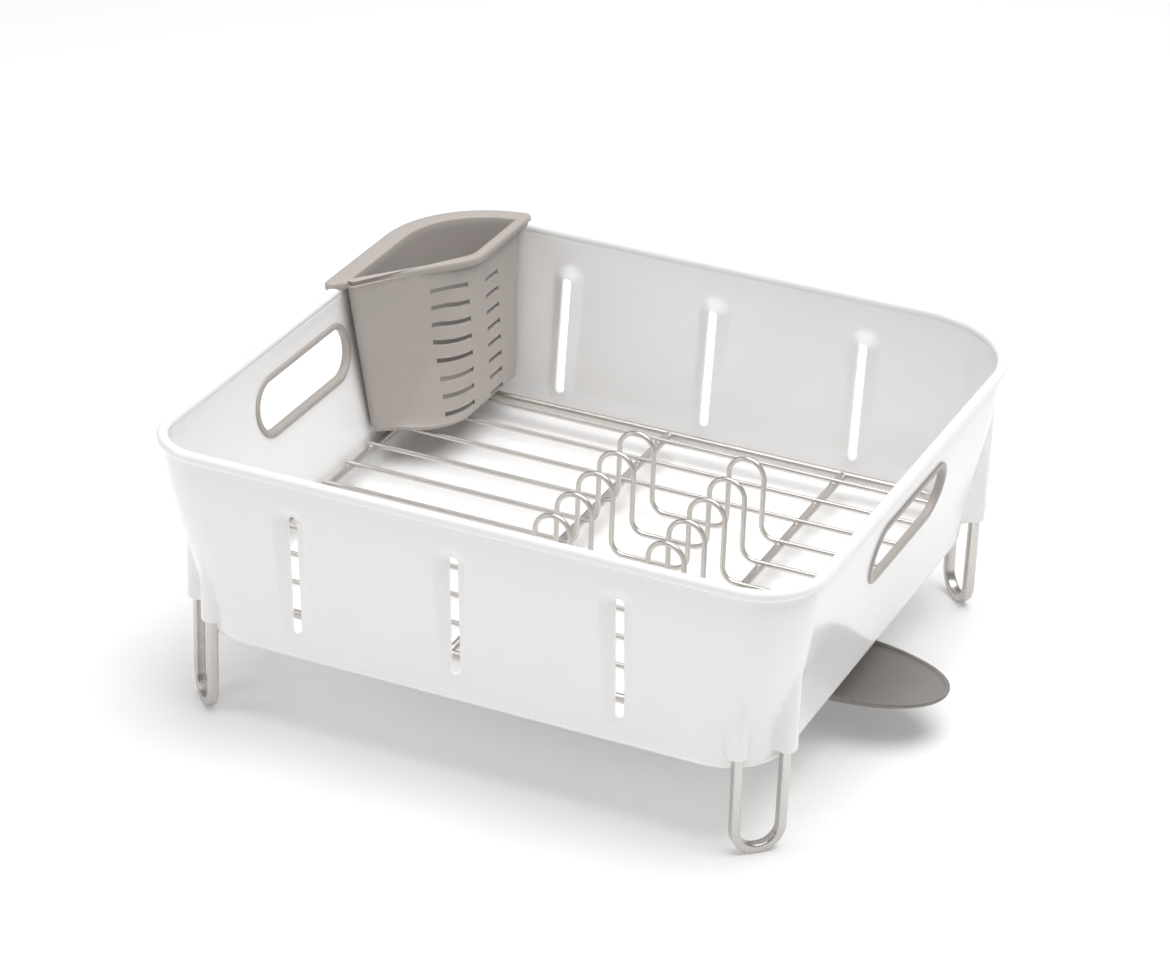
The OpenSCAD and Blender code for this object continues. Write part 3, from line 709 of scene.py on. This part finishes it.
# Handle trims
def buildTrim(name, sideSign):
    # outline of the handle carried round a lip, through the wall and round the inner lip
    lip, sleeve, stand = handleShape["lip"], handleShape["sleeve"], handleShape["stand"]
    inner = lip + sleeve
    wall = tubShape["wall"]
    section = [(0.0, 0.0), (0.05, 0.7 * stand), (0.5, stand), (1.3, 1.12 * stand),
               (inner - 1.4, 1.12 * stand), (inner - 0.5, 0.9 * stand),
               (inner, 0.35 * stand), (inner, -0.3), (inner, -wall / 2),
               (inner, -wall + 0.3), (inner, -wall - 0.35 * stand), (inner - 0.5, -wall - 0.9 * stand),
               (inner - 1.4, -wall - 1.1 * stand), (1.0, -wall - stand), (0.2, -wall - 0.6 * stand),
               (0.0, -wall), (lip, -wall), (lip, 0.0)]
    half = (handleShape["length"] - handleShape["height"]) / 2
    steps = 30
    rings = []
    for i in range(2 * steps + 2):
        a = math.pi * (i if i <= steps else i - 1) / steps
        shift = half if i <= steps else -half
        ring = []
        for inset, out in section:
            r = handleShape["height"] / 2 - inset
            y = handleMiddle[0] + shift + r * math.sin(a)
            z = handleMiddle[1] - r * math.cos(a)
            ring.append((sideSign * (halfLength + wallFace(z) + out), y, z))
        rings.append(ring)
    points, faces = loft(rings, wrap=True)
    if sideSign < 0:
        faces = [f[::-1] for f in faces]
    return makeObject(name, points, faces, 50)


for name, sideSign, node in (("handleTrimLeft", -1, "handle_trim_left"),
                             ("handleTrimRight", 1, "handle_trim_right")):
    place(buildTrim(name, sideSign), trimPlastic, "tub", "trim_plastic", node)
print("handle trims made")


# Feet
def buildFoot(name, node):
    low, high = cadBoxMm(node)
    middle = (low + high) / 2
    turn = -math.copysign(1, middle[0] * middle[1])
    direction = np.array((math.sqrt(0.5), turn * math.sqrt(0.5), 0))
    across = np.array((-direction[1], direction[0], 0))
    half, halfLow, bend = footShape["span"] / 2, footShape["spanLow"] / 2, footShape["bend"]
    thick = footShape["thick"]
    profile = []
    for z in np.linspace(footShape["top"], bend + thick / 2, 12):
        share = (z - bend) / (footShape["top"] - bend)
        profile.append((halfLow + (half - halfLow) * share, z))
    for i in range(1, 17):
        a = math.radians(90 * i / 16)
        profile.append((halfLow - bend + bend * math.cos(a), bend + thick / 2 - bend * math.sin(a)))
    profile += [(-x, z) for x, z in profile[::-1]]
    centre = np.array((middle[0], middle[1], 0))
    path = [centre + direction * x + np.array((0, 0, z)) for x, z in profile]
    section = easedRectangle(-footShape["wide"] / 2, footShape["wide"] / 2, -thick / 2, thick / 2,
                             footShape["ease"], 5)
    points, faces = loft(sweep(path, section, False, across), capEnds=True)
    return makeObject(name, points, faces, 50)


for name, node in (("footFrontLeft", "foot_front_left"), ("footFrontRight", "foot_front_right"),
                   ("footBackLeft", "foot_back_left"), ("footBackRight", "foot_back_right")):
    place(buildFoot(name, node), footSteel, "tub", "foot_steel", node)
print("feet made")


# Rack
rodLow, rodHigh = cadBoxMm("rack_outer_rod")
wireLow, wireHigh = cadBoxMm("back_wire_1")
rackShape = {
    "rod": (rodHigh[2] - rodLow[2]) / 2, "wire": (wireHigh[1] - wireLow[1]) / 2, "corner": 30.0,
    "loopLeft": 2.5, "loopRight": 75.0, "loopWide": 22.8, "loopFoot": 9.0}
rodR, wireR = rackShape["rod"], rackShape["wire"]
rodZ = (rodLow[2] + rodHigh[2]) / 2
rodHalf = np.array((rodHigh[0], rodHigh[1])) - rodR
wireZ = wireHigh[2] - wireR
crossX = [sum(cadBoxMm(n))[0] / 2 for n in ("rack_cross_rod_left", "rack_cross_rod_right")]


def buildOuterRod():
    r = rackShape["corner"]
    path = []
    for sideX, sideY, start in ((1, 1, 0), (-1, 1, 90), (-1, -1, 180), (1, -1, 270)):
        cx, cy = sideX * (rodHalf[0] - r), sideY * (rodHalf[1] - r)
        for i in range(19):
            a = math.radians(start + 90 * i / 18)
            path.append((cx + r * math.cos(a), cy + r * math.sin(a), rodZ))
    points, faces = roundedRod(path, rodR, (0, 0, 1), 18, closed=True)
    return makeObject("rackOuterRod", points, faces, 60)


def buildCrossRod(name, x):
    end = rodHalf[1] - rodR * 0.55
    path = [(x, y, rodZ) for y in np.linspace(-end, end, 12)]
    parts = [roundedRod(path, rodR, (1, 0, 0), 18)]
    for y in (-1, 1):  # welds to the front and back rods
        parts.append(blob((x, y * (rodHalf[1] - rodR * 0.8), rodZ - 0.3), (rodR + 0.7, 2.6, rodR * 0.8)))
    points, faces = joinParts(parts)
    return makeObject(name, points, faces, 60)


def loopPath(x, y):
    # from the wire up one leg, over the crown and down again
    half, foot = rackShape["loopWide"] / 2, rackShape["loopFoot"]
    top = cadBoxMm("plate_wire_1")[1][2] - wireR
    crownZ, legZ = top - half, wireZ + foot
    path = []
    for i in range(9):
        a = math.radians(-90 + 90 * i / 8)
        path.append((x - half - foot + foot * math.cos(a), y, legZ + foot * math.sin(a)))
    for i in range(21):
        a = math.radians(180 - 180 * i / 20)
        path.append((x + half * math.cos(a), y, crownZ + half * math.sin(a)))
    for i in range(9):
        a = math.radians(180 + 90 * i / 8)
        path.append((x + half + foot + foot * math.cos(a), y, legZ + foot * math.sin(a)))
    return path


def buildWire(name, node, looped):
    low, high = cadBoxMm(node)
    y = (low[1] + high[1]) / 2
    end = high[0]
    path = [(s, y, wireZ) for s in np.linspace(-end, crossX[0] - 16, 10)]
    if looped:
        path += loopPath(rackShape["loopLeft"], y)
        path += loopPath(rackShape["loopRight"], y)
    path += [(s, y, wireZ) for s in np.linspace(crossX[1] + 14, end, 8)]
    parts = [roundedRod(path, wireR, (0, 1, 0), 14)]
    weldZ = (rodZ + rodR + wireZ - wireR) / 2
    for x in (-rodHalf[0], rodHalf[0], *crossX):
        parts.append(blob((x, y, weldZ), (2.5, 2.3, 1.1)))
    points, faces = joinParts(parts)
    return makeObject(name, points, faces, 60)


def placeOnRack(piece, node):
    place(piece, wireSteel, "rack", "wire_steel", node)


placeOnRack(buildOuterRod(), "rack_outer_rod")
placeOnRack(buildCrossRod("rackCrossRodLeft", crossX[0]), "rack_cross_rod_left")
placeOnRack(buildCrossRod("rackCrossRodRight", crossX[1]), "rack_cross_rod_right")
wireSets = (("backWire", "back_wire", 3, False), ("plateWire", "plate_wire", 5, True),
            ("frontWire", "front_wire", 2, False))
for name, node, wireCount, looped in wireSets:
    for i in range(1, wireCount + 1):
        placeOnRack(buildWire(f"{name}{i}", f"{node}_{i}", looped), f"{node}_{i}")
print("rack made")


# Utensil caddy
caddyLow, caddyHigh = cadBoxMm("utensil_caddy")
caddyShape = {
    "wall": 2.2, "gap": 1.5, "wide": 54.0, "long": 141.0, "rim": 3.0, "lip": 4.0, "skirt": 9.0,
    "skirtWall": 2.0, "bead": 2.6, "nose": 4.0, "floorEase": 6.0, "footEase": 5, "footIn": 3.4,
    "tubWall": 2.5, "taper": 8, "bellyTopR": 25, "bellyLowR": 42, "bellyTop": 59, "bellyLow": 68,
    "turnTop": -34, "turnLow": -74, "hookOut": 2.4, "rimRound": 2.3,
    "slots": 8, "slotTop": 165.0, "slotGap": 11.2, "slotHigh": 3.4}


def arcPoints(cx, cy, radius, start, stop, steps):
    angles = np.radians(np.linspace(start, stop, steps + 1))
    return [(cx + radius * math.cos(a), cy + radius * math.sin(a)) for a in angles]


def linePoints(first, last, steps):
    # points between two points, both left out
    first, last = np.array(first), np.array(last)
    return [tuple(first + (last - first) * i / steps) for i in range(1, steps)]


def caddyOutline(left, back, side, front, corner, bellyR, bellyY, turn, inset):
    # end wall side, back, open side, belly and nose, in one ring
    nose = caddyShape["nose"]
    cx, cy, nx = left + corner, back - corner, side - nose
    meet = 90 if nx >= cx else math.degrees(math.acos((nx - cx) / (corner - nose)))
    ny = back - nose if nx >= cx else cy + (corner - nose) * math.sin(math.radians(meet))
    pieces = [
        arcPoints(cx, cy, corner - inset, 180, meet, 22),
        arcPoints(nx, ny, nose - inset, meet, 0, 8),
        arcPoints(side - bellyR, bellyY, bellyR - inset, 0, turn, 16),
        arcPoints(left + nose, front + nose, nose - inset, turn, -180, 10)]
    ring = []
    for k, piece in enumerate(pieces):
        ring += piece
        ring += linePoints(piece[-1], pieces[(k + 1) % 4][0], (3, 10, 12, 14)[k])
    return np.array(ring)


def buildCaddy():
    wall, gap = caddyShape["wall"], caddyShape["gap"]
    base, rimTop = caddyLow[2], caddyHigh[2]
    rimLow = rimTop - caddyShape["rim"]
    tubWall, taper, topR = caddyShape["tubWall"], caddyShape["taper"], caddyShape["bellyTopR"]
    turnTop = caddyShape["turnTop"]
    inTop = halfLength + wallFace(beadZ) - tubWall - gap
    backTop = halfDepth + wallFace(beadZ) - tubWall - gap
    inLow = halfLength + wallFace(base) - tubWall - gap
    backLow = halfDepth + wallFace(base) - tubWall - gap
    sideTop = -inTop + caddyShape["wide"]
    frontTop = backTop - caddyShape["long"]
    bellyTopY = backTop - caddyShape["bellyTop"]
    cornerTop = tubShape["backRim"] - tubWall - gap - 3
    cornerLow = cornerRadius(base, True) - tubWall - gap - 2

    def body(z, inset):
        share = (z - base) / (rimTop - base)
        top = caddyOutline(
            -inTop, backTop, sideTop, frontTop, cornerTop, topR, bellyTopY, turnTop, inset)
        low = caddyOutline(
            -inLow, backLow, sideTop + taper, frontTop + taper, cornerLow, caddyShape["bellyLowR"],
            backLow - caddyShape["bellyLow"], caddyShape["turnLow"], inset)
        return low + (top - low) * share

    def ring(plan, z):
        return np.column_stack([plan, np.full(len(plan), z) if np.isscalar(z) else z])

    hook = bead + caddyShape["hookOut"]
    left, back = -(halfLength + hook), halfDepth + hook
    side, front = sideTop + caddyShape["lip"], frontTop - taper

    def rim(inset):
        return caddyOutline(left, back, side, front, cornerTop + 14, topR + caddyShape["lip"],
                            bellyTopY, turnTop, inset)

    # the outer edge of the rim drops into a skirt along the end wall and round the back
    edge = rim(0)
    along = np.arange(len(edge))
    cornerPoints = 36  # points from the end wall round the back to the open side
    backFade = ease((side - 7 - edge[:, 0]) / 9) * (along < cornerPoints)
    endFade = ease((edge[:, 1] - front - 5) / 9) * (edge[:, 0] < left + 12)
    hooked = np.clip(np.maximum(backFade, endFade), 0, 1)
    drop = caddyShape["bead"] + (caddyShape["skirt"] - caddyShape["bead"]) * hooked
    rings = []
    # inner floor and wall
    easeR = caddyShape["floorEase"]
    for i in range(6):
        a = math.radians(90 * i / 5)
        plan = body(base + wall, wall + easeR * (1 - math.sin(a)) * 0.5)
        rings.append(ring(plan, base + wall + easeR * (1 - math.cos(a)) * 0.6))
    for z in np.linspace(base + wall + easeR, rimTop - 1.2, 22):
        rings.append(ring(body(z, wall), z))
    rings.append(ring(body(rimTop, wall - 0.2), rimTop - 0.5))
    rings.append(ring(body(rimTop, wall - 0.7), rimTop - 0.1))
    # rim top to its outer edge
    rings.append(ring(body(rimTop, wall - 1.3), rimTop))
    rimRound = caddyShape["rimRound"]
    rings.append(ring(rim(rimRound + 0.3), rimTop))
    for i in range(1, 7):
        a = math.radians(90 * i / 6)
        rings.append(ring(rim(rimRound * (1 - math.sin(a))), rimTop - rimRound * (1 - math.cos(a))))
    skirt = caddyShape["skirtWall"]
    skirtLow = rimLow + 0.4 - drop
    rings.append(ring(rim(0.0), skirtLow + 0.5))
    rings.append(ring(rim(0.3), skirtLow))
    rings.append(ring(rim(skirt - 0.3), skirtLow))
    rings.append(ring(rim(skirt), skirtLow + 0.5))
    rings.append(ring(rim(skirt), rimLow - 0.1))
    rings.append(ring(rim(skirt + 0.6), rimLow))
    rings.append(ring(body(rimTop, -0.6), rimLow))
    # outer wall down to the rounded foot
    footEase = caddyShape["footEase"]
    for z in np.linspace(rimLow - 0.5, base + footEase, 24):
        rings.append(ring(body(z, 0), z))
    for i in range(1, 6):
        a = math.radians(90 * i / 5)
        plan = body(base, caddyShape["footIn"] * (1 - math.cos(a)))
        rings.append(ring(plan, base + footEase * (1 - math.sin(a))))
    # close floor and underside with shrinking rings
    def closing(plan, z):
        centre = plan.mean(0)
        return [ring(centre + (plan - centre) * s, z) for s in (0.8, 0.5, 0.2, 0.02)]

    inside = closing(rings[0][:, :2], base + wall)[::-1]
    outside = closing(rings[-1][:, :2], base)
    points, faces = loft(inside + rings + outside, capEnds=True)
    return makeObject("utensilCaddy", points, faces, 40), sideTop, bellyTopY


def turnedBox(corner, size, turn):
    # box from one corner, turned about the upright axis, with round ends in its height
    section = easedRectangle(0, size[0], 0, size[2], size[2] * 0.42, 4)
    c, s = math.cos(math.radians(turn)), math.sin(math.radians(turn))
    rings = []
    for depth in (0, size[1]):
        rings.append([(corner[0] + u * c - depth * s, corner[1] + u * s + depth * c, corner[2] + v)
                      for u, v in section])
    return loft(rings, capEnds=True)


utensilCaddy, caddySide, bellyY = buildCaddy()
slotBoxes = []
for i in range(caddyShape["slots"]):
    z = caddyShape["slotTop"] - i * caddyShape["slotGap"]
    slotBoxes.append(turnedBox((caddySide - 9, bellyY + 6, z - 5), (40, 18, caddyShape["slotHigh"]), -8))
    slotBoxes.append(turnedBox((caddySide - 24, bellyY - 33, z), (60, 27, caddyShape["slotHigh"]), -28))
cutAway(utensilCaddy, slotBoxes, 40)
place(utensilCaddy, caddyPlastic, "caddy", "caddy_plastic", "utensil_caddy")
print("caddy made", len(utensilCaddy.data.vertices))


# Swivel spout and drain
spoutLow, spoutHigh = cadBoxMm("swivel_spout")
collarLow, collarHigh = cadBoxMm("drain_collar")
retainerLow, retainerHigh = cadBoxMm("spout_retainer")
sealLow, sealHigh = cadBoxMm("drain_seal")
spoutShape = {
    "wall": 2.2, "rootEdge": 41.0, "tipEdge": 30.4, "noseLong": 76.0, "noseBlunt": 0.86, "fillet": 3.4,
    "dip": 0.9, "hubR": 27.0, "hubThick": 4.0, "bore": 16.1}


def spoutOutline(inset):
    # round at the pivot, straight along the sides and bullet-shaped at the tip
    half = spoutHigh[1] - inset
    tip = spoutHigh[0] - inset
    root = tip - spoutShape["noseLong"]
    outline = []
    for i in range(33):  # round end about the pivot
        a = math.radians(90 + 180 * i / 32)
        outline.append((half * math.cos(a), half * math.sin(a)))
    lower = [(x, -half) for x in np.linspace(0, root, 16)[1:]]
    nose = []
    for i in range(1, 40):
        a = math.radians(-90 + 180 * i / 40)
        ahead = math.cos(a) ** spoutShape["noseBlunt"]
        nose.append((root + (tip - root) * ahead, half * math.sin(a)))
    upper = [(x, half) for x in np.linspace(root, 0, 16)[:-1]]
    return np.array(outline + lower + nose + upper)


def buildSpout():
    low = spoutLow[2]
    wall, fillet = spoutShape["wall"], spoutShape["fillet"]
    tip = spoutHigh[0]

    def edgeZ(plan):
        share = ease(plan[:, 0] / tip) * 0.45 + np.clip(plan[:, 0] / tip, 0, 1) * 0.55
        return spoutShape["rootEdge"] + (spoutShape["tipEdge"] - spoutShape["rootEdge"]) * share

    def lift(plan):
        # the floor dips slightly along its middle
        return spoutShape["dip"] * (plan[:, 1] / spoutHigh[1]) ** 2

    edge = edgeZ(spoutOutline(0))
    rings = []

    def add(inset, z):
        plan = spoutOutline(inset)
        rings.append(np.column_stack([plan, np.broadcast_to(z, (len(plan),))]))

    for i in range(6):
        a = math.radians(90 * i / 5)
        add(fillet * (1 - math.sin(a)), low + fillet * (1 - math.cos(a)) * 0.9)
    add(0.0, low + fillet + (edge - low - fillet) * 0.5)
    add(0.0, edge - 0.8)
    add(0.25, edge - 0.25)
    add(0.8, edge)
    add(wall - 0.5, edge - 0.05)
    add(wall, edge - 0.5)
    inner = low + wall
    add(wall + 0.1, inner + (edge - inner) * 0.6)
    for i in range(5, -1, -1):
        a = math.radians(90 * i / 5)
        plan = spoutOutline(wall + fillet * (1 - math.sin(a)))
        z = inner + lift(plan) + np.minimum(fillet, (edge - inner) * 0.5) * (1 - math.cos(a))
        rings.append(np.column_stack([plan, z]))

    holeR = spoutShape["bore"]

    def towardsHole(ring, z, follow):
        plan = ring[:, :2]
        angles = np.arctan2(plan[:, 1], plan[:, 0])
        hole = np.column_stack([holeR * np.cos(angles), holeR * np.sin(angles)])
        found = []
        for share in (0.15, 0.35, 0.55, 0.75, 0.9, 1.0):
            mixed = plan * (1 - share) + hole * share
            height = z + (lift(mixed) if follow else 0)
            found.append(np.column_stack([mixed, np.broadcast_to(height, (len(mixed),))]))
        return found

    top = towardsHole(rings[-1], inner, True)
    under = towardsHole(rings[0], low, False)[::-1]
    parts = [loft(rings + top + under, wrap=True)]
    hubTop = spoutHigh[2]
    hubLow = hubTop - spoutShape["hubThick"]
    parts.append(lathe(easedRectangle(holeR, spoutShape["hubR"], hubLow, hubTop, 0.8)))
    for turn in (60, 180, 300):  # posts between the floor and the hub
        c, s = math.cos(math.radians(turn)), math.sin(math.radians(turn))
        section = easedRectangle(spoutShape["hubR"] - 6, spoutShape["hubR"] - 1, -4, 4, 1.2)
        ends = [[(u * c - v * s, u * s + v * c, z) for u, v in section]
                for z in (low + wall * 0.6, hubLow + 0.5)]
        parts.append(loft(ends, capEnds=True))
    points, faces = joinParts(parts)
    return makeObject("swivelSpout", points, faces, 42)


place(buildSpout(), spoutPlastic, "spout", "spout_plastic", "swivel_spout")


def buildCollar():
    bore, outer, flangeR = drainShape["bore"], drainShape["outer"], collarHigh[0]
    low, high = collarLow[2], collarHigh[2]
    flangeLow = high - drainShape["flange"]
    profile = [(bore, low + 0.5), (bore + 0.5, low), (outer - 0.5, low), (outer, low + 0.5),
               (outer, flangeLow), (flangeR - 0.5, flangeLow), (flangeR, high - 1.2),
               (flangeR, high - 0.6), (flangeR - 0.6, high - 0.1), (flangeR - 1.5, high),
               (bore + 2.0, high - 0.2), (bore + 0.6, high - 0.8), (bore, high - 2.2)]
    return makeObject("drainCollar", *lathe(profile), 35)


place(buildCollar(), collarPlastic, "tub", "collar_plastic", "drain_collar")
ringProfile = easedRectangle(drainShape["outer"], retainerHigh[0], retainerLow[2], retainerHigh[2], 0.7)
place(makeObject("spoutRetainer", *lathe(ringProfile), 35), spoutPlastic, "tub", "collar_plastic",
      "spout_retainer")
sealProfile = easedRectangle(drainShape["outer"], sealHigh[0], sealLow[2], sealHigh[2], 0.35)
place(makeObject("drainSeal", *lathe(sealProfile), 35), sealRubber, "tub", "seal_rubber", "drain_seal")
print("spout and drain made")


# Studio
studio = {
    "floorColour": (0.86, 0.86, 0.86), "floorGlow": 0.16, "worldStrength": 0.33, "keyPower": 60,
    "fillPower": 9, "keyPlace": (0.35, 0.1, 2.3), "keySize": 2.4, "fillPlace": (-1.9, -1.6, 1.2),
    "fillSize": 1.2, "lightTarget": (0, 0, 0.1),
    "azimuth": 23.762, "elevation": 27.312, "roll": 2.041, "distance": 2.3653,
    "target": (0.0038, -0.0296, 0.1325), "sensor": 36.0, "lens": 123.035}


def buildFloor():
    half = 9.0
    floorMesh = bpy.data.meshes.new("studioFloor")
    floorMesh.from_pydata([(-half, -half, 0), (half, -half, 0), (half, half, 0), (-half, half, 0)], [],
                          [(0, 1, 2, 3)])
    floor = bpy.data.objects.new("studioFloor", floorMesh)
    bpy.context.scene.collection.objects.link(floor)
    material, _, shader = startMaterial("paleFloor")
    shader.inputs["Base Color"].default_value = (*studio["floorColour"], 1)
    shader.inputs["Roughness"].default_value = 0.6
    shader.inputs["Specular IOR Level"].default_value = 0.2
    shader.inputs["Emission Color"].default_value = (1, 1, 1, 1)
    shader.inputs["Emission Strength"].default_value = studio["floorGlow"]
    floorMesh.materials.append(material)


def softLight(name, position, size, power):
    data = bpy.data.lights.new(name, "AREA")
    data.shape = "DISK"
    data.size = size
    data.energy = power
    lamp = bpy.data.objects.new(name, data)
    lamp.location = position
    beam = Vector(studio["lightTarget"]) - Vector(position)
    lamp.rotation_euler = beam.to_track_quat("-Z", "Y").to_euler()
    bpy.context.scene.collection.objects.link(lamp)


def buildCamera():
    az, el, roll = (math.radians(studio[k]) for k in ("azimuth", "elevation", "roll"))
    back = Vector((math.sin(az) * math.cos(el), -math.cos(az) * math.cos(el), math.sin(el)))
    right = (-back).cross(Vector((0, 0, 1))).normalized()
    up = right.cross(-back)
    across = right * math.cos(roll) + up * math.sin(roll)
    upright = up * math.cos(roll) - right * math.sin(roll)
    data = bpy.data.cameras.new("studioCamera")
    data.sensor_width = studio["sensor"]
    data.lens = studio["lens"]
    data.clip_end = 50
    camera = bpy.data.objects.new("studioCamera", data)
    turned = Matrix((across, upright, back)).transposed().to_4x4()
    seat = Vector(studio["target"]) + back * studio["distance"]
    camera.matrix_world = Matrix.Translation(seat) @ turned
    bpy.context.scene.collection.objects.link(camera)
    bpy.context.scene.camera = camera


world = bpy.data.worlds.new("studioWorld")
world.use_nodes = True
world.node_tree.nodes["Background"].inputs["Color"].default_value = (1, 1, 1, 1)
world.node_tree.nodes["Background"].inputs["Strength"].default_value = studio["worldStrength"]
bpy.context.scene.world = world
bpy.context.scene.view_settings.view_transform = "Standard"
buildFloor()
softLight("keyLight", studio["keyPlace"], studio["keySize"], studio["keyPower"])
softLight("fillLight", studio["fillPlace"], studio["fillSize"], studio["fillPower"])
buildCamera()
print("studio made")
